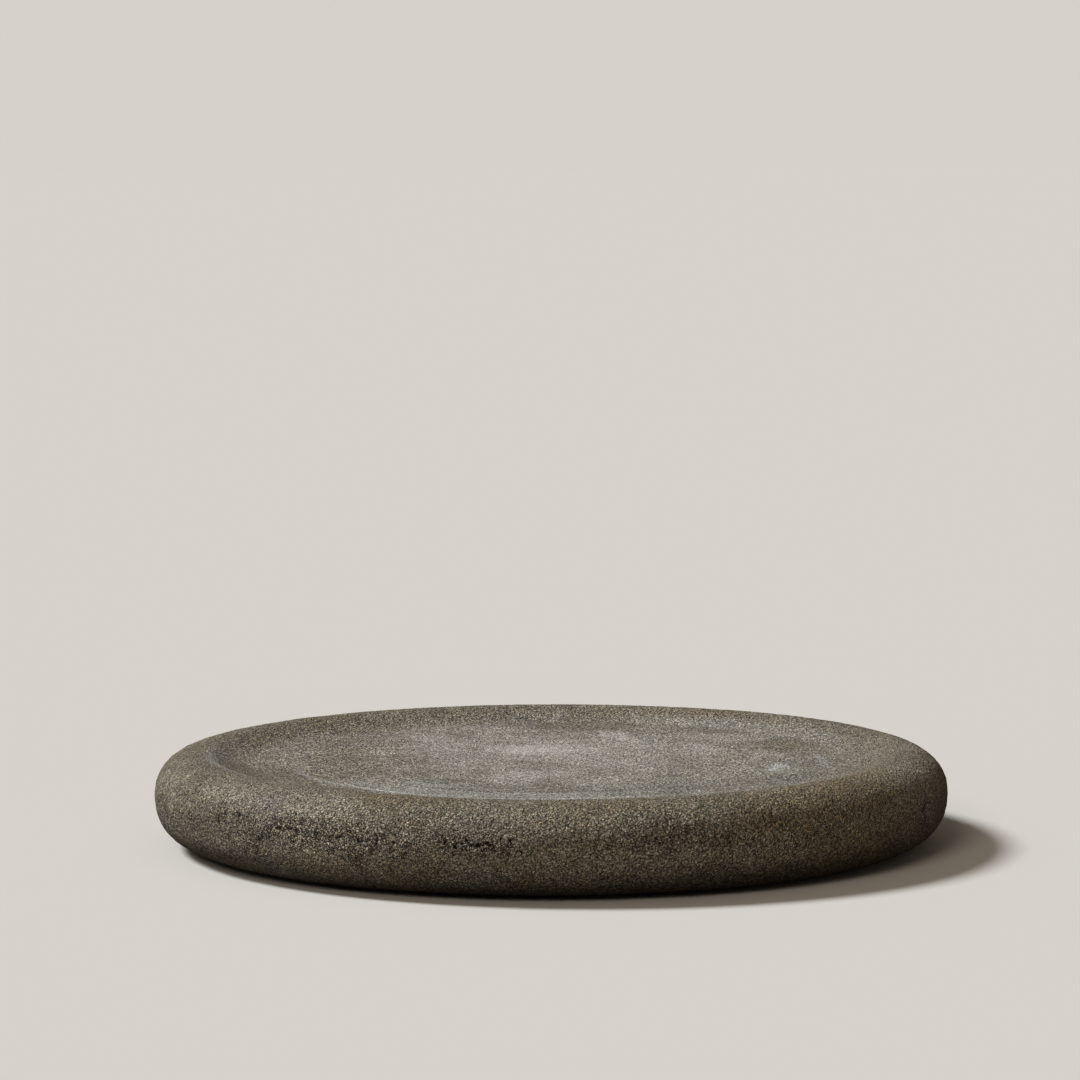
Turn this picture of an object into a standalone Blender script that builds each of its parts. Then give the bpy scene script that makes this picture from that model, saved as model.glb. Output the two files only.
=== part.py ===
# A round dished tray in basalt: one turned slab with a thick, rounded rim and a shallow flat-floored dish,
# which stands on four anti-slip pads glued into shallow seats in its underside.
# Metres, +Z up. The origin is the middle of the four pads' soles, on the surface that the tray stands on.

import math

import bmesh
import bpy

# The slab
TRAY_DIAMETER = 0.300
SLAB_HEIGHT = 0.0345  # from the flat underside to the crest of the rim
WIDEST_HEIGHT = 0.0195  # the rim is widest this far above the underside
CREST_INSET = 0.0170  # the crest lies this far in from the widest point
UNDERSIDE_INSET = 0.0255  # the flat underside ends this far in from the widest point
SHOULDER_FULLNESS = 2.15  # exponent of the curve over the rim: 2 is an ellipse, more is squarer
BELLY_FULLNESS = 2.50  # exponent of the curve under the rim

# The dish
DISH_DEPTH = 0.0050  # from the crest of the rim down to the flat floor
DISH_SLOPE_WIDTH = 0.0270  # from the crest of the rim in to the edge of the flat floor
SLOPE_LEAN = 1.60  # exponent of the slope: 1 is an even S, more puts its steep part nearer the crest

# The pads and their seats
PAD_DIAMETER = 0.0240
PAD_THICKNESS = 0.0030
PAD_EDGE_RADIUS = 0.0006  # rounding round the sole
PAD_STANDS_PROUD = 0.0010  # how far the soles stand below the slab's underside
PAD_SETBACK = 0.0340  # from the edge of the flat underside in to the pads' centres
SEAT_SIDE_CLEARANCE = 0.0003  # all round a pad
GLUE_LINE = 0.0003  # between a pad's top and the ceiling of its seat

# How finely the round shapes are divided
SLAB_SEGMENTS = 96
PAD_SEGMENTS = 48
CURVE_STEPS = 9  # along each quarter of the rim
SLOPE_STEPS = 12  # along the dish's slope
PAD_EDGE_STEPS = 3
SHARP_ANGLE = math.radians(35)
CUT_OVERRUN = 0.0020  # how far a cutter runs out of the face that it cuts

OUTER_RADIUS = TRAY_DIAMETER / 2
CREST_RADIUS = OUTER_RADIUS - CREST_INSET
UNDERSIDE_RADIUS = OUTER_RADIUS - UNDERSIDE_INSET
DISH_FLOOR_RADIUS = CREST_RADIUS - DISH_SLOPE_WIDTH
PAD_CIRCLE_RADIUS = UNDERSIDE_RADIUS - PAD_SETBACK
SEAT_DEPTH = PAD_THICKNESS + GLUE_LINE - PAD_STANDS_PROUD

# Each pad's direction from the tray's middle, anticlockwise from +X
PAD_DIRECTIONS = {
    "pad_back_right": math.radians(45),
    "pad_back_left": math.radians(135),
    "pad_front_left": math.radians(225),
    "pad_front_right": math.radians(315),
}


def clear_scene():
    for scene_object in list(bpy.data.objects):
        bpy.data.objects.remove(scene_object, do_unlink=True)


def add_object(name, mesh, location=(0, 0, 0)):
    new_object = bpy.data.objects.new(name, mesh)
    new_object.location = location
    bpy.context.collection.objects.link(new_object)
    return new_object


def plain_material(name, colour, roughness):
    material = bpy.data.materials.new(name)
    material.use_nodes = True
    shader = material.node_tree.nodes["Principled BSDF"]
    shader.inputs["Base Color"].default_value = (*colour, 1)
    shader.inputs["Roughness"].default_value = roughness
    shader.inputs["Metallic"].default_value = 0
    return material


def rounded_quarter(start, end, fullness, steps, leaves_level):
    """Points from start to end, each (radius, height), along a quarter of a superellipse.
    It leaves start level and meets end upright, or the other way round if leaves_level is False."""
    points = []
    for step in range(steps + 1):
        angle = math.pi / 2 * step / steps
        rise = math.sin(angle) ** (2 / fullness)
        run = math.cos(angle) ** (2 / fullness)
        along_radius, along_height = (rise, 1 - run) if leaves_level else (1 - run, rise)
        points.append(
            (
                start[0] + (end[0] - start[0]) * along_radius,
                start[1] + (end[1] - start[1]) * along_height,
            )
        )
    return points


def slab_profile():
    """From the edge of the dish's floor, up its slope, over the rim and in to the flat underside's edge.
    Heights are from the underside."""
    floor_height = SLAB_HEIGHT - DISH_DEPTH
    slope = []
    for step in range(SLOPE_STEPS):
        share = step / SLOPE_STEPS
        radius = DISH_FLOOR_RADIUS + DISH_SLOPE_WIDTH * share
        rise = (1 - math.cos(math.pi * share**SLOPE_LEAN)) / 2
        slope.append((radius, floor_height + DISH_DEPTH * rise))
    crest = (CREST_RADIUS, SLAB_HEIGHT)
    widest = (OUTER_RADIUS, WIDEST_HEIGHT)
    foot = (UNDERSIDE_RADIUS, 0)
    shoulder = rounded_quarter(crest, widest, SHOULDER_FULLNESS, CURVE_STEPS, True)
    belly = rounded_quarter(widest, foot, BELLY_FULLNESS, CURVE_STEPS, False)
    return slope + shoulder + belly[1:]


def pad_profile():
    """From the rim of a pad's top face down and round to the rim of its sole. Heights are from the sole."""
    radius = PAD_DIAMETER / 2
    side_foot = (radius, PAD_EDGE_RADIUS)
    sole_rim = (radius - PAD_EDGE_RADIUS, 0)
    return [(radius, PAD_THICKNESS)] + rounded_quarter(side_foot, sole_rim, 2, PAD_EDGE_STEPS, False)


def turned_mesh(name, profile, segments):
    """Turns a profile, which runs down the outer side, about Z, and closes both ends with flat faces."""
    bm = bmesh.new()
    rings = []
    for radius, height in profile:
        ring = []
        for segment in range(segments):
            angle = 2 * math.pi * segment / segments
            ring.append(bm.verts.new((radius * math.cos(angle), radius * math.sin(angle), height)))
        rings.append(ring)
    for upper, lower in zip(rings, rings[1:]):
        for segment in range(segments):
            following = (segment + 1) % segments
            bm.faces.new((upper[segment], lower[segment], lower[following], upper[following]))
    bm.faces.new(rings[0])
    bm.faces.new(list(reversed(rings[-1])))
    mesh = bpy.data.meshes.new(name)
    bm.to_mesh(mesh)
    bm.free()
    mesh.shade_smooth()
    mesh.set_sharp_from_angle(angle=SHARP_ANGLE)
    return mesh


def pad_place(direction, height):
    return (PAD_CIRCLE_RADIUS * math.cos(direction), PAD_CIRCLE_RADIUS * math.sin(direction), height)


def build_slab():
    mesh = turned_mesh("stone_tray", slab_profile(), SLAB_SEGMENTS)
    mesh.materials.append(plain_material("bush-hammered basalt", (0.23, 0.20, 0.16), 0.85))
    slab = add_object("stone_tray", mesh, (0, 0, PAD_STANDS_PROUD))
    seat_radius = PAD_DIAMETER / 2 + SEAT_SIDE_CLEARANCE
    seat_profile = [(seat_radius, SEAT_DEPTH), (seat_radius, -CUT_OVERRUN)]
    seat_mesh = turned_mesh("pad_seat_cutter", seat_profile, PAD_SEGMENTS)
    for pad_name, direction in PAD_DIRECTIONS.items():
        cutter = add_object(f"{pad_name}_seat_cutter", seat_mesh, pad_place(direction, PAD_STANDS_PROUD))
        cutter.hide_render = True
        cutter.display_type = "WIRE"
        cut = slab.modifiers.new(f"seat for {pad_name}", "BOOLEAN")
        cut.operation = "DIFFERENCE"
        cut.solver = "EXACT"
        cut.object = cutter
    return slab


def build_pads():
    mesh = turned_mesh("pad", pad_profile(), PAD_SEGMENTS)
    mesh.materials.append(plain_material("moulded rubber", (0.025, 0.025, 0.026), 0.75))
    for pad_name, direction in PAD_DIRECTIONS.items():
        add_object(pad_name, mesh, pad_place(direction, 0))


clear_scene()
build_slab()
build_pads()
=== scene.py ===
# Looks for the round dished basalt tray: a bush-hammered slab on four rubber pads, on a pale studio floor.
# Everything is in metres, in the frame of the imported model, with +Z up and the front towards -Y.
import math
from functools import partial

import bpy
import numpy as np
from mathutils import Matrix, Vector, geometry, kdtree


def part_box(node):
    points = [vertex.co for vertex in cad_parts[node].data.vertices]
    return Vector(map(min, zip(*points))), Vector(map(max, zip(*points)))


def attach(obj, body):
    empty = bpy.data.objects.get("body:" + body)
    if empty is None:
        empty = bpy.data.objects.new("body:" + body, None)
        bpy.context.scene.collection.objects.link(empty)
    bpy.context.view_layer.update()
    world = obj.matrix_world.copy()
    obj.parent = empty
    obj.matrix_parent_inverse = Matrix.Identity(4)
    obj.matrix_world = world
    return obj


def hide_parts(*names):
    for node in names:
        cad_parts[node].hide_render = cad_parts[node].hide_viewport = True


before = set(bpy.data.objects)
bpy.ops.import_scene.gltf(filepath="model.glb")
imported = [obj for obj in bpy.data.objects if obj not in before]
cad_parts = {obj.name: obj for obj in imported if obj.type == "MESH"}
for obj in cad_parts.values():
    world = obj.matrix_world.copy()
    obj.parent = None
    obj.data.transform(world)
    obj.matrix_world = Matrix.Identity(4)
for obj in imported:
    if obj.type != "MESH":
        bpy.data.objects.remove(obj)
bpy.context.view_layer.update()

mm = 0.001


def linear(hexColour):
    # sRGB hex to the linear RGBA that sockets want
    channels = [int(hexColour[i:i + 2], 16) / 255 for i in (1, 3, 5)]
    return (*[c / 12.92 if c <= 0.04045 else ((c + 0.055) / 1.055) ** 2.4 for c in channels], 1)


def connect(tree, node, sockets):
    # sockets: input name or number to a value, an output, or a node that stands for its first output
    for name, value in sockets.items():
        if isinstance(value, bpy.types.Node):
            value = next(output for output in value.outputs if output.enabled)
        if isinstance(value, bpy.types.NodeSocket):
            tree.links.new(value, node.inputs[name])
        else:
            node.inputs[name].default_value = value


def addNode(tree, kind, sockets=None, stops=None, **settings):
    # settings: the node's own properties; stops: (place, colour) on a ramp
    node = tree.nodes.new(kind)
    for name, value in settings.items():
        setattr(node, name, value)
    connect(tree, node, sockets or {})
    if stops:
        ramp = node.color_ramp
        while len(ramp.elements) < len(stops):
            ramp.elements.new(0.5)
        for element, (place, colour) in zip(ramp.elements, stops):
            element.position = place
            element.color = linear(colour)
    return node


def newMaterial(name):
    material = bpy.data.materials.new(name)
    material.use_nodes = True
    tree = material.node_tree
    tree.nodes.clear()
    shader = addNode(tree, "ShaderNodeBsdfPrincipled")
    addNode(tree, "ShaderNodeOutputMaterial", {"Surface": shader})
    return material, tree, shader


def lumps(points, size, seed):
    # smooth noise from -1 to 1 with one lump about every size; the same on every machine
    grid = points / size + seed * 7.31
    cell = np.floor(grid).astype(np.int64)
    part = grid - cell
    part = part * part * (3 - 2 * part)
    total = np.zeros(len(points))
    for corner in range(8):
        offset = np.array([corner & 1, corner >> 1 & 1, corner >> 2 & 1])
        x, y, z = (cell + offset).T
        mixed = x * 374761393 + y * 668265263 + z * 1440662683 + seed * 1274126177
        mixed = (mixed ^ mixed >> 13) * 1274126177
        mixed = (mixed ^ mixed >> 16) & 0xFFFFFF
        weight = np.where(offset == 1, part, 1 - part).prod(axis=1)
        total += weight * (mixed / 0x7FFFFF - 1)
    return total


def ease(low, high, value):
    # 0 below low, 1 above high, smooth between
    share = np.clip((value - low) / (high - low), 0, 1)
    return share * share * (3 - 2 * share)


# the slab's skin: a dense turned mesh, pushed in and out for the tooled surface
slab = {
    "crestInset": 17 * mm,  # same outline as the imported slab
    "undersideInset": 25.5 * mm,
    "widestHeight": 19.5 * mm,
    "shoulderFullness": 2.15,
    "bellyFullness": 2.5,
    "dishDepth": 5 * mm,
    "slopeWidth": 27 * mm,
    "slopeLean": 1.6,
    "floorStep": 0.85 * mm,  # spacing of the skin's points, coarse to fine
    "slopeStep": 0.72 * mm,
    "rimStep": 0.50 * mm,
    "rimPoints": 1920,  # points round the rim
    "dishTooling": 14 * mm,  # how far inside the crest the rough tooling starts
    "rimTooling": 8 * mm,  # how far outside the crest it is at its full
    "footFade": 14 * mm,  # the tooling dies out over this much before the underside
    "faceFrom": 134 * mm,  # from the axis: the outer face's patches start, and are at their full
    "faceFull": 142 * mm,
    "coarseLift": 3.3,  # how much more the fine relief stands up in the coarse patches
    "turningMark": 0.035 * mm,  # depth of the turning marks in the dish
    "padGap": 0.3 * mm,  # clearance round and above each pad
    "padPoints": 64,
}

# how the surface departs from the turned shape: lump size, height, and the share kept in the smooth dish
relief = [
    (75 * mm, 0.22 * mm, 1.0),
    (24 * mm, 0.12 * mm, 0.6),
    (8.0 * mm, 0.07 * mm, 0.40),
    (3.1 * mm, 0.06 * mm, 0.50),
    (1.5 * mm, 0.09 * mm, 0.50),
]

# coarse patches on the outer face, where grains have come away: middle and half-widths, in degrees from +X
# and in mm over the underside, then how coarse
coarsePatches = [
    (233, 20, 21.5, 6.5, 1.0),
    (261, 8, 20.5, 4.5, 1.0),
    (286, 14, 22.0, 5.0, 0.45),
    (22, 20, 18.0, 7.0, 0.7),
    (74, 26, 21.0, 6.5, 0.9),
    (138, 22, 19.0, 6.0, 0.8),
    (196, 12, 17.0, 6.0, 0.5),
]

# places on the outer face with painted shade, or rubbed paler, in the same way
paintedShadePatches = [
    (216, 15, 13, 11, 0.55),
    (194, 10, 14, 10, 0.5),
    (268, 30, 3, 8, 1.0),
    (304, 26, 4, 7, 0.9),
    (322, 16, 6, 6, 0.6),
    (48, 30, 9, 9, 0.7),
    (128, 26, 14, 8, 0.6),
]
rubbedPatches = [
    (221, 18, 30, 4.5, 0.9),
    (241, 11, 13, 9, 0.8),
    (259, 14, 19, 5, 0.8),
    (283, 14, 18, 5, 0.7),
    (293, 18, 15, 8, 0.45),
    (331, 16, 21, 8, 0.5),
    (60, 26, 24, 5, 0.6),
    (150, 20, 26, 6, 0.5),
]

# open pits in them: middle and spread in the same way, how many, radius range and depth in mm
pitGroups = [
    (261.0, 5.6, 21.6, 3.6, 17, 0.45, 0.82, 1.10),
    (231.5, 3.0, 23.5, 2.4, 10, 0.45, 0.80, 0.90),
    (222.5, 3.0, 24.5, 2.0, 9, 0.45, 0.75, 0.80),
    (243.0, 5.0, 21.5, 2.6, 9, 0.40, 0.70, 0.70),
    (211.0, 5.0, 20.0, 3.6, 9, 0.40, 0.65, 0.60),
    (284.7, 1.0, 21.0, 1.0, 3, 0.60, 0.85, 0.90),
    (64.0, 4.0, 21.0, 2.6, 13, 0.45, 0.80, 0.70),
    (91.0, 6.0, 19.0, 3.0, 14, 0.40, 0.70, 0.55),
    (141.0, 5.0, 18.0, 3.0, 14, 0.40, 0.75, 0.60),
    (18.0, 4.0, 17.0, 2.6, 12, 0.40, 0.70, 0.60),
]


def quarter(start, end, fullness, leavesLevel):
    # a quarter of a superellipse from start to end, each (radius, height)
    angle = np.linspace(0, math.pi / 2, 400)
    rise, run = np.sin(angle) ** (2 / fullness), np.cos(angle) ** (2 / fullness)
    alongRadius, alongHeight = (rise, 1 - run) if leavesLevel else (1 - run, rise)
    return (start[0] + (end[0] - start[0]) * alongRadius, start[1] + (end[1] - start[1]) * alongHeight)


def slabOutline(low, high):
    # radius and height every 0.05 mm along the section, from the dish's middle to the underside's edge
    outer = (high.x - low.x) / 2
    crest = (outer - slab["crestInset"], high.z)
    widest = (outer, low.z + slab["widestHeight"])
    foot = (outer - slab["undersideInset"], low.z)
    share = np.linspace(0, 1, 400)
    slopeRadius = crest[0] + slab["slopeWidth"] * (share - 1)
    slopeHeight = crest[1] - slab["dishDepth"] * (1 + np.cos(math.pi * share ** slab["slopeLean"])) / 2
    shoulder = quarter(crest, widest, slab["shoulderFullness"], True)
    belly = quarter(widest, foot, slab["bellyFullness"], False)
    radius = np.concatenate([[0], slopeRadius, shoulder[0][1:], belly[0][1:]])
    height = np.concatenate([[slopeHeight[0]], slopeHeight, shoulder[1][1:], belly[1][1:]])
    along = np.concatenate([[0], np.cumsum(np.hypot(np.diff(radius), np.diff(height)))])
    even = np.arange(0, along[-1], 0.05 * mm)
    return even, np.interp(even, along, radius), np.interp(even, along, height)


def ringPlaces(even, radius, height):
    # places along the section where a ring of points goes
    crestAt = even[np.argmax(height)]
    slopeAt = crestAt - slab["slopeWidth"]
    places = [slab["floorStep"]]
    while places[-1] < even[-1] - slab["rimStep"]:
        here = places[-1]
        part = "floorStep" if here < slopeAt else "slopeStep" if here < crestAt else "rimStep"
        places.append(here + slab[part])
    places[-1] = even[-1]
    return np.array(places)


def stitch(upper, lower):
    # faces between two rings of point numbers, where one may have half as many points as the other
    upperNext, lowerNext = np.roll(upper, -1), np.roll(lower, -1)
    if len(upper) == len(lower):
        return np.stack([upper, lower, lowerNext, upperNext], axis=1).tolist()
    if len(lower) == 2 * len(upper):
        near, mid, far = lower[0::2], lower[1::2], lowerNext[1::2]
        groups = [(upper, near, mid), (upper, mid, upperNext), (upperNext, mid, far)]
    else:
        near, mid, far = upper[0::2], upper[1::2], upperNext[1::2]
        groups = [(near, lower, mid), (mid, lower, lowerNext), (mid, lowerNext, far)]
    return [face for group in groups for face in np.stack(group, axis=1).tolist()]


def pitDepths(points, outline):
    # how deep the open pits cut at each point
    even, radius, height = outline
    tree = kdtree.KDTree(len(points))
    for number, point in enumerate(points.tolist()):
        tree.insert(point, number)
    tree.balance()
    raggedness = lumps(points, 0.9 * mm, 41)
    rim = even > even[np.argmax(height)]
    depths = np.zeros(len(points))
    draw = np.random.default_rng(5)
    for azimuth, swing, middle, rise, count, small, large, depth in pitGroups:
        turns = np.radians(draw.normal(azimuth, swing * 0.55, count))
        heights = height[-1] + np.clip(draw.normal(middle, rise * 0.55, count), 4, 31) * mm
        sizes = (small + (large - small) * draw.random(count) ** 2) * mm
        cuts = depth * draw.uniform(0.5, 1.0, count) * mm
        radii = np.interp(-heights, -height[rim], radius[rim])
        for turn, z, r, size, cut in zip(turns, heights, radii, sizes, cuts):
            centre = (r * math.cos(turn), r * math.sin(turn), z)
            for place, number, distance in tree.find_range(centre, size * 1.6):
                reach = distance / (size * (1 + 0.6 * raggedness[number]))
                if reach < 1:
                    depths[number] = max(depths[number], cut * (1 - reach * reach))
    return depths


def outerPatches(points, underside, patches, seed):
    # 1 in the middle of each patch of the outer face, 0 outside them, with ragged borders
    azimuth = np.degrees(np.arctan2(points[:, 1], points[:, 0])) % 360
    height = (points[:, 2] - underside) / mm
    outside = ease(slab["faceFrom"], slab["faceFull"], np.hypot(points[:, 0], points[:, 1]))
    ragged = 1 + 0.6 * lumps(points, 9 * mm, seed) + 0.5 * lumps(points, 3.5 * mm, seed + 1)
    tone = np.zeros(len(points))
    for middle, swing, level, rise, amount in patches:
        away = np.hypot(((azimuth - middle + 180) % 360 - 180) / swing, (height - level) / rise)
        tone = np.maximum(tone, amount * (1 - ease(0.35, 1.15, away * ragged)))
    return tone * outside


# tones across the stone, seen from above: middle x and y, half-widths, turn in degrees, amount
# x and y are in mm, with y towards the back
bloomSpots = [
    (-6, 34, 30, 20, 0, 1.0),
    (27, 68, 9, 30, 22, 0.8),
    (-46, 64, 12, 26, 12, 0.5),
    (-34, 4, 18, 26, 0, 0.40),
    (3, -22, 13, 24, 0, 0.50),
    (-20, 88, 28, 12, 0, 0.30),
    (8, 24, 72, 76, 0, 0.45),
    (56, 34, 16, 32, 0, 0.55),
    (-13, -38, 15, 30, 0, 0.65),
    (-38, 30, 14, 34, 0, 0.50),
    (64, 66, 26, 20, 0, 0.35),
]
# stains; the dark spots on the left also paint shade on the inner slope that faces away from the key
stainAndShadeSpots = [
    (14, 104, 26, 18, 0, 0.65),
    (31, 92, 6, 16, 12, 0.6),
    (91, 42, 12, 22, 20, 0.8),
    (-82, 94, 30, 14, 42, 0.5),
    (-86, 48, 12, 24, -10, 0.5),
    (-82, 4, 26, 50, 0, 0.75),
    (-95, -32, 15, 38, 24, 0.9),
    (96, 24, 14, 30, 0, 0.5),
    (-6, -4, 15, 6, -10, 0.6),
    (-50, -38, 9, 18, -38, 0.5),
    (116, -22, 14, 30, -14, 0.6),
    (122, 34, 13, 40, 12, 0.5),
    (-116, 52, 16, 30, -22, 0.5),
    (-110, -32, 12, 30, 24, 1.0),
]
slateAndShadeSpots = [
    # this spot paints the dark blue-grey shade on the left inner slope
    (-125, -6, 6, 36, -2, 0.9),
    (-42, -55, 16, 9, -35, 0.7),
    (-62, -18, 12, 26, 10, 0.35),
    (44, -64, 30, 12, 28, 0.6),
    (92, -42, 12, 26, -24, 0.5),
    (-99, -106, 9, 5, -43, 0.9),
    (-30, -144, 14, 5, -12, 0.5),
    (34, -143, 20, 5, 13, 0.4),
    (98, 4, 10, 20, 0, 0.3),
]
rustSpots = [
    (108, -98, 60, 34, 42, 1.0),
    (20, -138, 34, 9, 8, 0.75),
    (-56, -122, 26, 10, -25, 1.0),
    (60, 122, 44, 14, -26, 0.7),
    (-100, 98, 34, 14, 44, 0.6),
    (150, -14, 14, 70, 0, 0.8),
    (-140, 20, 12, 40, 8, 0.4),
]
# where the dish keeps open, speckled grain
gritSpots = [
    (-80, 14, 36, 76, -4, 1.0),
    (70, 10, 30, 60, 0, 0.5),
    (10, 92, 60, 22, 0, 0.4),
]
# pale slip left by the turning tool: radius and half-width in mm, azimuth and half-angle in degrees, amount
slipAndHighlightBands = [
    (97, 2.4, 254, 46, 1.0),
    (91, 5.0, 250, 40, 0.40),
    (85, 3.5, 262, 40, 0.50),
    (75, 3.0, 246, 34, 0.35),
    (98, 2.4, 208, 22, 0.45),
    (87, 5.0, 348, 9, 0.9),
    (104, 4.0, 2, 14, 0.5),
    (119, 7.0, 48, 34, 0.32),
    # this band paints a highlight along the left crest
    (130, 2.4, 198, 26, 0.5),
]
# painted shadow line where the turned slope runs up into the rim, in the same way
lipBands = [
    (105, 3.0, 240, 44, 1.0),
    (107, 4.5, 210, 26, 1.0),
    (124, 4.0, 192, 20, 1.0),
    (106, 2.5, 292, 26, 0.6),
]


def spots(points, places, seed):
    # soft-edged patches with ragged borders, seen from above
    ragged = 1 + 0.35 * lumps(points, 17 * mm, seed) + 0.3 * lumps(points, 6 * mm, seed + 1)
    tone = np.zeros(len(points))
    for x, y, across, along, turn, amount in places:
        turned = math.radians(turn)
        right, back = points[:, 0] / mm - x, points[:, 1] / mm - y
        offAcross = (right * math.cos(turned) + back * math.sin(turned)) / across
        offAlong = (back * math.cos(turned) - right * math.sin(turned)) / along
        tone = np.maximum(tone, amount * (1 - ease(0.2, 1.25, np.hypot(offAcross, offAlong) * ragged)))
    return tone


def bands(points, places, seed):
    # arcs of streaks round the dish
    fromAxis = np.hypot(points[:, 0], points[:, 1])
    heading = points[:, :2] / np.maximum(fromAxis, 1 * mm)[:, None]
    fine = lumps(np.column_stack([heading * 2.2, fromAxis / (2.1 * mm)]), 1.0, seed)
    broad = lumps(np.column_stack([heading * 1.1, fromAxis / (5.0 * mm)]), 1.0, seed + 1)
    azimuth = np.degrees(np.arctan2(points[:, 1], points[:, 0]))
    tone = np.zeros(len(points))
    for radius, width, middle, swing, amount in places:
        off = np.abs(fromAxis / mm - radius) / width
        around = np.abs((azimuth - middle + 180) % 360 - 180) / swing
        tone = np.maximum(tone, amount * (1 - ease(0.3, 1.1, off)) * (1 - ease(0.4, 1.1, around)))
    return tone * ease(-0.8, 0.3, 0.65 * fine + 0.5 * broad + 0.25)


def turnedSkin(outline, outer):
    # rings of points from the dish's middle to the underside's edge, with fewer round the small rings
    even, radius, height = outline
    alongRadius, alongHeight = np.gradient(radius), np.gradient(height)
    length = np.hypot(alongRadius, alongHeight)
    facingOut, facingUp = -alongHeight / length, alongRadius / length
    places = ringPlaces(even, radius, height)
    ringRadius = np.interp(places, even, radius)
    halvings = np.clip(np.ceil(np.log2(0.66 * outer / ringRadius)), 0, 7).astype(int)
    counts = slab["rimPoints"] // 2 ** halvings

    points, normals, sections, rings = [], [], [], []
    start = 1
    for place, r, count in zip(places, ringRadius, counts):
        angle = np.arange(count) * (2 * math.pi / count)
        z, outR, outZ = (np.interp(place, even, values) for values in (height, facingOut, facingUp))
        across, up = np.cos(angle), np.sin(angle)
        points.append(np.stack([r * across, r * up, np.full(count, z)], axis=1))
        normals.append(np.stack([outR * across, outR * up, np.full(count, outZ)], axis=1))
        sections.append(np.full(count, place))
        rings.append(np.arange(start, start + count))
        start += count
    points = np.concatenate([[[0, 0, height[0]]], *points])
    normals = np.concatenate([[[0, 0, 1]], *normals])
    sections = np.concatenate([[0], *sections])

    faces = [(0, a, b) for a, b in zip(rings[0].tolist(), np.roll(rings[0], -1).tolist())]
    for upper, lower in zip(rings, rings[1:]):
        faces += stitch(upper, lower)
    return points, normals, sections, rings[-1], faces


def carvedTones(points, underside):
    # what the material reads from the mesh, 0 to 1 at each point
    return {
        "bloom": spots(points, bloomSpots, 61),
        # stains with painted shade: the dark spots on the left inner slope and the shadow line at the lip
        "stain": np.maximum(spots(points, stainAndShadeSpots, 63), bands(points, lipBands, 73)),
        "slate": spots(points, slateAndShadeSpots, 65),
        "slip": bands(points, slipAndHighlightBands, 67),
        "rust": spots(points, rustSpots, 69),
        "grit": spots(points, gritSpots, 71),
        "coarse": outerPatches(points, underside, coarsePatches, 51),
        "grime": outerPatches(points, underside, paintedShadePatches, 55),
        "rubbed": outerPatches(points, underside, rubbedPatches, 57),
        "pitted": outerPatches(points, underside, [(*group[:4], 1.0) for group in pitGroups], 53),
    }


def tooledHeight(points, sections, crestAt, coarse):
    # how far the tooling moves each point out: rough over the rim, smoother in the turned dish
    onRim = ease(crestAt - slab["dishTooling"], crestAt + slab["rimTooling"], sections)
    moved = np.zeros(len(points))
    for number, (size, amount, kept) in enumerate(relief):
        keep = kept + (1 - kept) * onRim + (slab["coarseLift"] * coarse if size < 4 * mm else 0)
        moved += amount * keep * lumps(points, size, number + 1)
    # turning marks: shallow rings in the dish that come and go along their length
    fromAxis = np.hypot(points[:, 0], points[:, 1])
    heading = points[:, :2] / np.maximum(fromAxis, 1 * mm)[:, None]
    marks = lumps(np.column_stack([heading * 1.6, fromAxis / (2.6 * mm)]), 1.0, 23)
    return moved + slab["turningMark"] * marks * (1 - onRim) * ease(20 * mm, 60 * mm, fromAxis)


def cutUnderside(points, edge, underside):
    # the flat underside, with a seat round each pad: the seats' points, and the faces of all of it
    loops = [[Vector(point) for point in points[edge].tolist()]]
    numbers = edge.tolist()
    seats, faces = [], []
    first = len(points)
    for node in sorted(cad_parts):
        if not node.startswith("pad_"):
            continue
        padLow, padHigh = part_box(node)
        centre = (padLow + padHigh) / 2
        seatRadius = (padHigh.x - padLow.x) / 2 + slab["padGap"]
        turn = np.arange(slab["padPoints"]) * (2 * math.pi / slab["padPoints"])
        across, back = centre.x + seatRadius * np.cos(turn), centre.y + seatRadius * np.sin(turn)
        mouth = np.stack([across, back, np.full(len(turn), underside)], axis=1)
        roof = mouth.copy()
        roof[:, 2] = padHigh.z + slab["padGap"]
        mouthNumbers = np.arange(first, first + len(turn))
        roofNumbers = mouthNumbers + len(turn)
        first += 2 * len(turn)
        seats += [mouth, roof]
        loops.append([Vector(point) for point in mouth.tolist()])
        numbers += mouthNumbers.tolist()
        nextMouth, nextRoof = np.roll(mouthNumbers, -1), np.roll(roofNumbers, -1)
        faces += np.stack([mouthNumbers, roofNumbers, nextRoof, nextMouth], axis=1).tolist()
        faces.append(roofNumbers[::-1].tolist())

    # the fill between the seats can come out facing either way, and has to face down
    corners = [corner for loop in loops for corner in loop]
    triangles = geometry.tessellate_polygon(loops)
    facing = sum((corners[b] - corners[a]).cross(corners[c] - corners[a]).z for a, b, c in triangles)
    for triangle in triangles:
        faces.append([numbers[i] for i in (triangle[::-1] if facing > 0 else triangle)])
    return np.concatenate(seats), faces


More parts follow.
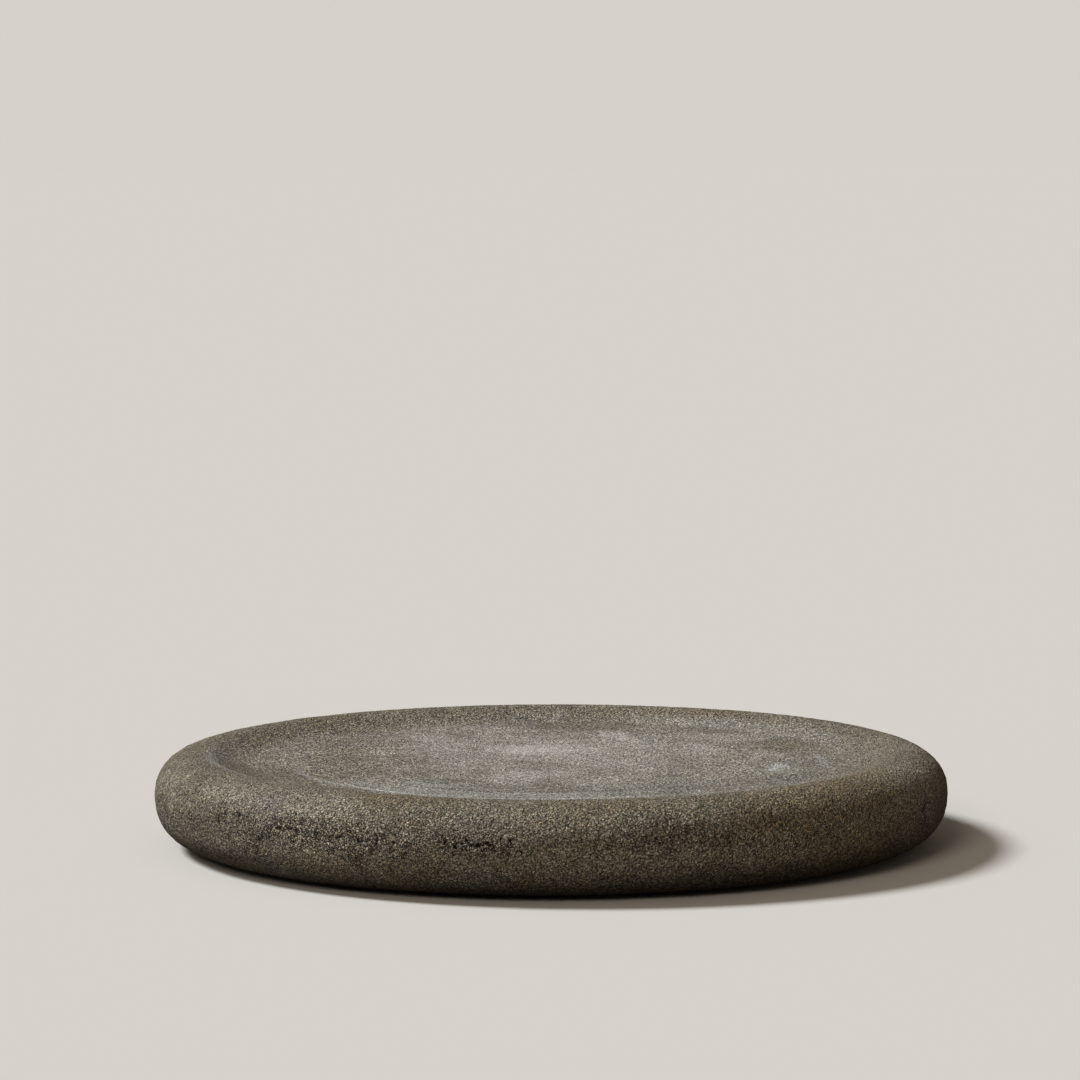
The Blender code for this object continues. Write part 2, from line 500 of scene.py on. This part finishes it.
def makeStone():
    low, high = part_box("stone_tray")
    outline = even, radius, height = slabOutline(low, high)
    points, normals, sections, edge, faces = turnedSkin(outline, high.x)
    print("skin:", len(points), "points,", len(faces), "faces")

    tones = carvedTones(points, low.z)
    moved = tooledHeight(points, sections, even[np.argmax(height)], tones["coarse"])
    pitted = pitDepths(points, outline)
    tones["hollow"] = np.clip(pitted / (0.5 * mm), 0, 1)
    fade = 1 - ease(even[-1] - slab["footFade"], even[-1], sections)  # true where the underside starts
    points += normals * ((moved - pitted) * fade)[:, None]
    print("tooled:", len(tones), "tones,", int((pitted > 0).sum()), "points in open pits")

    skinPoints = len(points)
    seats, seatFaces = cutUnderside(points, edge, low.z)
    points = np.concatenate([points, seats])
    sections = np.concatenate([sections, np.full(len(seats), even[-1])])

    mesh = bpy.data.meshes.new("dished basalt slab")
    mesh.from_pydata(points.tolist(), [], faces + seatFaces)
    mesh.validate()
    for name, values in tones.items():
        attribute = mesh.attributes.new(name, "FLOAT", "POINT")
        values = np.concatenate([values * fade, np.zeros(len(seats))])
        attribute.data.foreach_set("value", values.astype(np.float32))
    mesh.shade_smooth()
    mesh.set_sharp_from_angle(angle=math.radians(50))
    layUv(mesh, sections, even[-1], skinPoints)

    stone = bpy.data.objects.new("dished_basalt_slab", mesh)
    bpy.context.collection.objects.link(stone)
    return stone


def layUv(mesh, sections, total, skinPoints):
    # the dish, rim and belly as one disc, unrolled along the section, and the underside as a smaller one
    positions = np.empty(len(mesh.vertices) * 3, np.float32)
    mesh.vertices.foreach_get("co", positions)
    positions = positions.reshape(-1, 3)
    loopPoints = np.empty(len(mesh.loops), np.int32)
    mesh.loops.foreach_get("vertex_index", loopPoints)
    loopTotals = np.empty(len(mesh.polygons), np.int32)
    mesh.polygons.foreach_get("loop_total", loopTotals)
    faceOf = np.repeat(np.arange(len(mesh.polygons)), loopTotals)
    firstLoops = np.concatenate([[0], np.cumsum(loopTotals)[:-1]])
    beneath = np.minimum.reduceat(sections[loopPoints], firstLoops) >= total - 1e-7
    fromAxis = np.maximum(np.hypot(positions[:, 0], positions[:, 1]), 1e-6)
    heading = positions[:, :2] / fromAxis[:, None]
    bigRadius, smallRadius, margin = 0.393, 0.180, 0.006
    topUv = bigRadius + margin + heading * (sections / total * bigRadius)[:, None]
    underUv = 1 - smallRadius - margin + positions[:, :2] / fromAxis[:skinPoints].max() * smallRadius
    uv = np.where(beneath[faceOf][:, None], underUv[loopPoints], topUv[loopPoints])
    layer = mesh.uv_layers.new(name="OFBake")
    layer.data.foreach_set("uv", uv.astype(np.float32).ravel())


# basalt, turned inside and bush-hammered outside: dead matt and fine-grained, grey in the dish and warmer on
# the rim, every grain catching the light a little differently
basalt = {
    "dish": "#b6b1a7",
    "dishDark": "#857f74",
    "dishBlotch": "#7b6f5c",
    "rim": "#a49c8a",
    "rimDark": "#7d7261",
    # dirt with painted shade, for the sockets and open pits
    "dirtAndHoleShade": "#1b1611",
    "rimFrom": 112 * mm,  # from the axis: the rim's tone starts, and is at its full
    "rimFull": 142 * mm,
    "rimWander": 14 * mm,  # how far that border wanders
    # the belly's tone is painted shade, darker towards the underside
    "bellyFrom": 15 * mm,  # height under which the belly's tone starts, and where it is at its full
    "bellyFull": 3 * mm,
    "ior": 1.50,
    # lump size, detail, roughness, and the part of the noise that is stretched over 0 to 1
    "clouds": {
        "broad": (38 * mm, 4, 0.60, 0.36, 0.64),
        "mottle": (5.5 * mm, 3, 0.60, 0.34, 0.66),
        "blotch": (15 * mm, 4, 0.62, 0.50, 0.66),
    },
    # what lies over the clouded ground, from the lowest up: colour, and how much it covers
    "layers": {
        # painted shade, darker towards the underside
        "belly": ("#5f5340", 0.80),
        "rust": ("#887556", 0.82),
        # painted shade: darker patches on the outer face, most of them low on the front
        "grime": ("#554a3c", 0.55),
        "rubbed": ("#bdb4a2", 0.50),
        "bloom": ("#dcd7d1", 0.95),
        # stains, with painted shade on the left inner slope and at the lip
        "stain": ("#7b6f5c", 0.75),
        # blue-grey tint, with painted shade on the left inner slope
        "slate": ("#7d807f", 0.60),
        # pale slip, with a painted highlight along the left crest
        "slip": ("#cfd1cf", 0.85),
    },
    # the crystals' own colours, by share of the grains
    "crystals": [
        (0.00, "#5e666e"),
        (0.14, "#98917f"),
        (0.52, "#ad9c78"),
        (0.74, "#c9c4b6"),
        (0.90, "#5a4e40"),
    ],
    "grainSize": 0.62 * mm,  # real grains run from 0.3 mm; drawn a little coarser so that they show
    "crumbSize": 0.32 * mm,
    "grainHeight": 0.34 * mm,
    "crumbHeight": 0.07 * mm,
    "knobSize": 1.05 * mm,
    "knobHeight": 1.5 * mm,
    "socketSize": 1.5 * mm,  # spacing of the holes that lost grains leave
    "socketDepth": 0.45 * mm,
    "socketJitter": 0.9 * mm,  # how far their round borders wander, and over what length
    "jitterSize": 0.8 * mm,
}


def makeBasalt():
    material, tree, shader = newMaterial("bush-hammered basalt")
    add = partial(addNode, tree)
    maths, vectors, rescale = "ShaderNodeMath", "ShaderNodeVectorMath", "ShaderNodeMapRange"
    mix, noise, cells, split = ("ShaderNodeMix", "ShaderNodeTexNoise", "ShaderNodeTexVoronoi",
                                "ShaderNodeSeparateColor")
    place = add("ShaderNodeTexCoord").outputs["Object"]
    height = add("ShaderNodeSeparateXYZ", {0: place}).outputs["Z"]
    fromAxis = add(vectors, {0: place, 1: (1, 1, 0)}, operation="MULTIPLY")
    fromAxis = add(vectors, {0: fromAxis}, operation="LENGTH").outputs["Value"]

    tones = {}
    carried = ("bloom", "stain", "slate", "slip", "rust", "grime", "rubbed",
               "grit", "coarse", "pitted", "hollow")
    for name in carried:
        tones[name] = add("ShaderNodeAttribute", attribute_name=name).outputs["Fac"]
    for name, (size, detail, rough, low, high) in basalt["clouds"].items():
        cloud = add(noise, {"Vector": place, "Scale": 1 / size, "Detail": detail, "Roughness": rough})
        tones[name] = add(rescale, {0: cloud, 1: low, 2: high}, interpolation_type="SMOOTHSTEP")

    # the ground: grey dish with brown blotches, and a warmer rim, both clouded
    shade = add(maths, {0: tones["mottle"], 1: 0.4}, operation="MULTIPLY")
    shade = add(maths, {0: tones["broad"], 1: 0.6, 2: shade}, operation="MULTIPLY_ADD")
    dish = add(mix, {0: shade, 6: linear(basalt["dishDark"]), 7: linear(basalt["dish"])}, data_type="RGBA")
    rim = add(mix, {0: shade, 6: linear(basalt["rimDark"]), 7: linear(basalt["rim"])}, data_type="RGBA")
    blotch = add(maths, {0: tones["blotch"], 1: 0.55}, operation="MULTIPLY")
    dish = add(mix, {0: blotch, 6: dish, 7: linear(basalt["dishBlotch"])}, data_type="RGBA")
    border = add(maths, {0: tones["broad"], 1: basalt["rimWander"], 2: fromAxis}, operation="MULTIPLY_ADD")
    border = {0: border, 1: basalt["rimFrom"], 2: basalt["rimFull"]}
    onRim = add(rescale, border, interpolation_type="SMOOTHSTEP")
    tone = add(mix, {0: onRim, 6: dish, 7: rim}, data_type="RGBA")

    # what lies over it
    # painted shade on the belly, darker towards the underside
    belly = {0: height, 1: basalt["bellyFrom"], 2: basalt["bellyFull"]}
    tones["belly"] = add(rescale, belly, interpolation_type="SMOOTHSTEP")
    tones["rust"] = add(maths, {0: tones["rust"], 1: onRim}, operation="MULTIPLY")
    for name, (colour, cover) in basalt["layers"].items():
        share = add(maths, {0: tones[name], 1: cover}, operation="MULTIPLY")
        tone = add(mix, {0: share, 6: tone, 7: linear(colour)}, data_type="RGBA")

    # grains and crumbs: each cell is one crystal, a little lighter or darker than its neighbours
    grains = add(cells, {"Vector": place, "Scale": 1 / basalt["grainSize"]})
    crumbs = add(cells, {"Vector": place, "Scale": 1 / basalt["crumbSize"]})
    grainPick = add(split, {0: grains.outputs["Color"]}).outputs
    crumbPick = add(split, {0: crumbs.outputs["Color"]}).outputs
    crystal = add("ShaderNodeValToRGB", {"Fac": grainPick[1]}, stops=basalt["crystals"])
    crystal.color_ramp.interpolation = "CONSTANT"
    tinted = add(rescale, {0: tones["slip"], 3: 0.26, 4: 0.08})
    tone = add(mix, {0: tinted, 6: tone, 7: crystal}, data_type="RGBA")

    # how much they differ: less under slip and bloom, more in the coarse patches and where the dish is gritty
    calm = add(maths, {0: tones["bloom"], 1: 0.7, 2: tones["slip"]}, operation="MULTIPLY_ADD")
    calm = add(rescale, {0: calm, 3: 1.0, 4: 0.5})
    # in the coarse patches the stronger contrast partly paints the relief's highlights and shade
    sparkle = add(rescale, {0: tones["coarse"], 3: 1.0, 4: 1.72})
    sparkle = add(maths, {0: sparkle, 1: calm}, operation="MULTIPLY")
    spread = add(rescale, {0: onRim, 3: 1.5, 4: 0.85})
    spread = add(maths, {0: tones["grit"], 1: 1.3, 2: spread}, operation="MULTIPLY_ADD")
    # pale specks: partly pale crystals, partly painted glints
    speck = add(maths, {0: crumbPick[2], 1: 0.93}, operation="GREATER_THAN")
    # painted shade in the creases, darker towards each grain's edge
    creaseShade = {0: grains.outputs["Distance"], 1: 0.34, 2: 0.66, 3: 0.06, 4: -0.50}  # dark between the grains
    contrast = add(rescale, creaseShade, interpolation_type="SMOOTHSTEP")
    contrast = add(maths, {0: speck, 1: 1.1, 2: contrast}, operation="MULTIPLY_ADD")
    for pick, strength in ((crumbPick, 1.6), (grainPick, spread)):
        pale = add(maths, {0: pick[0], 1: 2.5}, operation="POWER")
        pale = add(maths, {0: pale, 1: 0.29}, operation="SUBTRACT")  # nought on average
        contrast = add(maths, {0: pale, 1: strength, 2: contrast}, operation="MULTIPLY_ADD")
    light = add(maths, {0: contrast, 1: sparkle, 2: 1.0}, operation="MULTIPLY_ADD")
    light = add(maths, {0: light, 1: 0.2}, operation="MAXIMUM")
    tone = add(vectors, {0: tone, "Scale": light}, operation="SCALE")

    # grains that have come away leave small sockets, thickest in the coarse patches and round open pits; they
    # and the open pits get near-black dirt with painted shade, as the sockets are only bumped
    jitter = add(noise, {"Vector": place, "Scale": 1 / basalt["jitterSize"], "Detail": 2.0})
    jitter = add(vectors, {0: jitter.outputs["Color"], "Scale": basalt["socketJitter"]}, operation="SCALE")
    wandered = add(vectors, {0: place, 1: jitter}, operation="ADD")
    holes = add(cells, {"Vector": wandered, "Scale": 1 / basalt["socketSize"]})
    holePick = add(split, {0: holes.outputs["Color"]}).outputs
    chance = 0.0
    for where, amount in ((tones["coarse"], 0.12), (tones["pitted"], 0.22), (onRim, 0.015)):
        chance = add(maths, {0: where, 1: amount, 2: chance}, operation="MULTIPLY_ADD")
    here = add(maths, {0: holePick[0], 1: chance}, operation="LESS_THAN")
    reach = add(rescale, {0: holePick[1], 3: 0.16, 4: 0.36})
    hole = add(maths, {0: holes.outputs["Distance"], 1: reach}, operation="DIVIDE")
    hole = add(rescale, {0: hole, 1: 1.0, 2: 0.6}, interpolation_type="SMOOTHSTEP")
    hole = add(maths, {0: here, 1: hole}, operation="MULTIPLY")
    dark = add(rescale, {0: tones["hollow"], 1: 0.25, 2: 0.55}, interpolation_type="SMOOTHSTEP")
    dark = add(maths, {0: hole, 1: dark}, operation="MAXIMUM")
    dark = add(maths, {0: dark, 1: 0.94}, operation="MULTIPLY")
    tone = add(mix, {0: dark, 6: tone, 7: linear(basalt["dirtAndHoleShade"])}, data_type="RGBA")

    # matt, with odd crystal faces that glint and a tighter skin where the slip is
    glint = add(maths, {0: grainPick[1], 1: 0.72}, operation="GREATER_THAN")
    glint = add(maths, {0: glint, 1: crumbPick[1]}, operation="MULTIPLY")
    roughness = add(rescale, {0: glint, 3: 0.92, 4: 0.55})
    roughness = add(maths, {0: tones["slip"], 1: -0.15, 2: roughness}, operation="MULTIPLY_ADD")

    # grains stand up like packed sugar, deepest in the coarse patches
    stand = add(rescale, {0: onRim, 3: 0.9, 4: 1.1})
    stand = add(maths, {0: tones["coarse"], 1: 1.4, 2: stand}, operation="MULTIPLY_ADD")
    stand = add(maths, {0: stand, 1: calm}, operation="MULTIPLY")
    knob = add(noise, {"Vector": place, "Scale": 1 / basalt["knobSize"], "Detail": 1.0})
    grainTop = add(maths, {0: grainPick[2], 1: 0.5}, operation="MULTIPLY")
    grainFall = add(maths, {0: grains.outputs["Distance"], 1: 2.0}, operation="POWER")
    grain = add(maths, {0: grainTop, 1: grainFall}, operation="SUBTRACT")
    crumbTop = add(maths, {0: crumbPick[2], 1: 0.6}, operation="MULTIPLY")
    crumb = add(maths, {0: crumbTop, 1: crumbs.outputs["Distance"]}, operation="SUBTRACT")
    bump = add("ShaderNodeBump", {"Height": hole, "Distance": basalt["socketDepth"]}, invert=True)
    for shape, rise in ((knob, "knobHeight"), (grain, "grainHeight"), (crumb, "crumbHeight")):
        shape = add(maths, {0: shape, 1: stand}, operation="MULTIPLY")
        bump = add("ShaderNodeBump", {"Height": shape, "Distance": basalt[rise], "Normal": bump})

    surface = {"Base Color": tone, "Roughness": roughness, "Normal": bump, "IOR": basalt["ior"]}
    connect(tree, shader, surface)
    return material


# pads: moulded black rubber, dull with a fine grain and a little dust
rubber = {
    "colour": "#262626",
    "dust": "#4a4743",
    "dustSize": 6 * mm,
    "grain": 0.35 * mm,
    "grainHeight": 0.04 * mm,
    "ior": 1.52,
}


def makeRubber():
    material, tree, shader = newMaterial("moulded black rubber")
    add = partial(addNode, tree)
    place = add("ShaderNodeTexCoord").outputs["Object"]
    speckle = add("ShaderNodeTexNoise", {"Vector": place, "Scale": 1 / rubber["grain"], "Detail": 3.0})
    dust = add("ShaderNodeTexNoise", {"Vector": place, "Scale": 1 / rubber["dustSize"], "Detail": 4.0})
    stops = [(0.50, rubber["colour"]), (0.78, rubber["dust"])]
    colour = add("ShaderNodeValToRGB", {"Fac": dust}, stops=stops)
    roughness = add("ShaderNodeMapRange", {"Value": speckle, "To Min": 0.62, "To Max": 0.86})
    bump = add("ShaderNodeBump", {"Height": speckle, "Distance": rubber["grainHeight"]})
    surface = {"Base Color": colour, "Roughness": roughness, "Normal": bump, "IOR": rubber["ior"]}
    connect(tree, shader, surface)
    return material


# studio: pale floor, key from the left and a little behind, weak fill from the front left
studio = {
    "floorSeen": "#e4e1dc",
    "floorBounce": "#6e6a65",  # what the floor gives back to the stone, as if black card lay round it
    "floorRadius": 18.0,
    "key": (169, 48, 2.80, 16, "#fbfdff"),  # degrees from +X, degrees up, strength, degrees across, colour
    "fill": (250, 30, 0.72, 22, "#fff1e0"),
    "ambient": 0.115,
    "ambientColour": "#ffeeda",
    "backdrop": "#d6d1ca",
}


def makeFloor():
    radius = studio["floorRadius"]
    turn = [2 * math.pi * i / 128 for i in range(128)]
    rim = [(radius * math.cos(angle), radius * math.sin(angle), 0) for angle in turn]
    mesh = bpy.data.meshes.new("studio floor")
    mesh.from_pydata(rim, [], [tuple(range(len(rim)))])
    floor = bpy.data.objects.new("studio_floor", mesh)
    bpy.context.collection.objects.link(floor)

    material = bpy.data.materials.new("matt painted board")
    material.use_nodes = True
    tree = material.node_tree
    tree.nodes.clear()
    seen = addNode(tree, "ShaderNodeBsdfDiffuse", {"Color": linear(studio["floorSeen"])})
    bounce = addNode(tree, "ShaderNodeBsdfDiffuse", {"Color": linear(studio["floorBounce"])})
    toCamera = addNode(tree, "ShaderNodeLightPath").outputs["Is Camera Ray"]
    choice = addNode(tree, "ShaderNodeMixShader", {0: toCamera, 1: bounce, 2: seen})
    addNode(tree, "ShaderNodeOutputMaterial", {"Surface": choice})
    mesh.materials.append(material)


def makeLights():
    for name in ("key", "fill"):
        azimuth, elevation, strength, across, colour = studio[name]
        azimuth, elevation = math.radians(azimuth), math.radians(elevation)
        level = math.cos(elevation)
        towards = Vector((math.cos(azimuth) * level, math.sin(azimuth) * level, math.sin(elevation)))
        sun = bpy.data.lights.new(name, "SUN")
        sun.energy = strength
        sun.angle = math.radians(across)
        sun.color = linear(colour)[:3]
        lamp = bpy.data.objects.new(name, sun)
        lamp.rotation_mode = "QUATERNION"
        lamp.rotation_quaternion = towards.to_track_quat("Z", "Y")
        bpy.context.collection.objects.link(lamp)

    world = bpy.data.worlds.new("studio")
    world.use_nodes = True
    tree = world.node_tree
    tree.nodes.clear()
    seen = addNode(tree, "ShaderNodeBackground", {"Color": linear(studio["backdrop"]), "Strength": 1.0})
    ambient = {"Color": linear(studio["ambientColour"]), "Strength": studio["ambient"]}
    lit = addNode(tree, "ShaderNodeBackground", ambient)
    toCamera = addNode(tree, "ShaderNodeLightPath").outputs["Is Camera Ray"]
    choice = addNode(tree, "ShaderNodeMixShader", {0: toCamera, 1: lit, 2: seen})
    addNode(tree, "ShaderNodeOutputWorld", {"Surface": choice})
    bpy.context.scene.world = world


# camera: a long lens held low, as if from across a table
lens = {
    "distance": 1.80,
    "elevation": 8.36,  # degrees above the tray's middle
    "downTilt": 5.29,  # degrees below level
    "yaw": 0.125,  # degrees to the left of the tray's middle
    "roll": 0.16,
    "focalLength": 157.7,
}


def makeCamera():
    low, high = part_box("stone_tray")
    middle = (low + high) / 2
    elevation = math.radians(lens["elevation"])
    data = bpy.data.cameras.new("camera")
    data.sensor_width = 36
    data.lens = lens["focalLength"]
    data.clip_end = 40
    camera = bpy.data.objects.new("camera", data)
    camera.location = middle + lens["distance"] * Vector((0, -math.cos(elevation), math.sin(elevation)))
    camera.rotation_euler = (math.radians(90 - lens["downTilt"]), 0, math.radians(lens["yaw"]))
    camera.rotation_euler.rotate_axis("Z", -math.radians(lens["roll"]))
    bpy.context.collection.objects.link(camera)
    bpy.context.scene.camera = camera


makeCamera()
makeLights()
makeFloor()
print("studio ready")

stone = makeStone()
stone.data.materials.append(makeBasalt())
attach(stone, "root")
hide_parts("stone_tray")
print("stone ready")

blackRubber = makeRubber()
for node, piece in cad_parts.items():
    if node.startswith("pad_"):
        piece.data.materials.clear()
        piece.data.materials.append(blackRubber)
print("pads ready")

bpy.context.scene.view_settings.view_transform = "Standard"
bpy.context.view_layer.update()
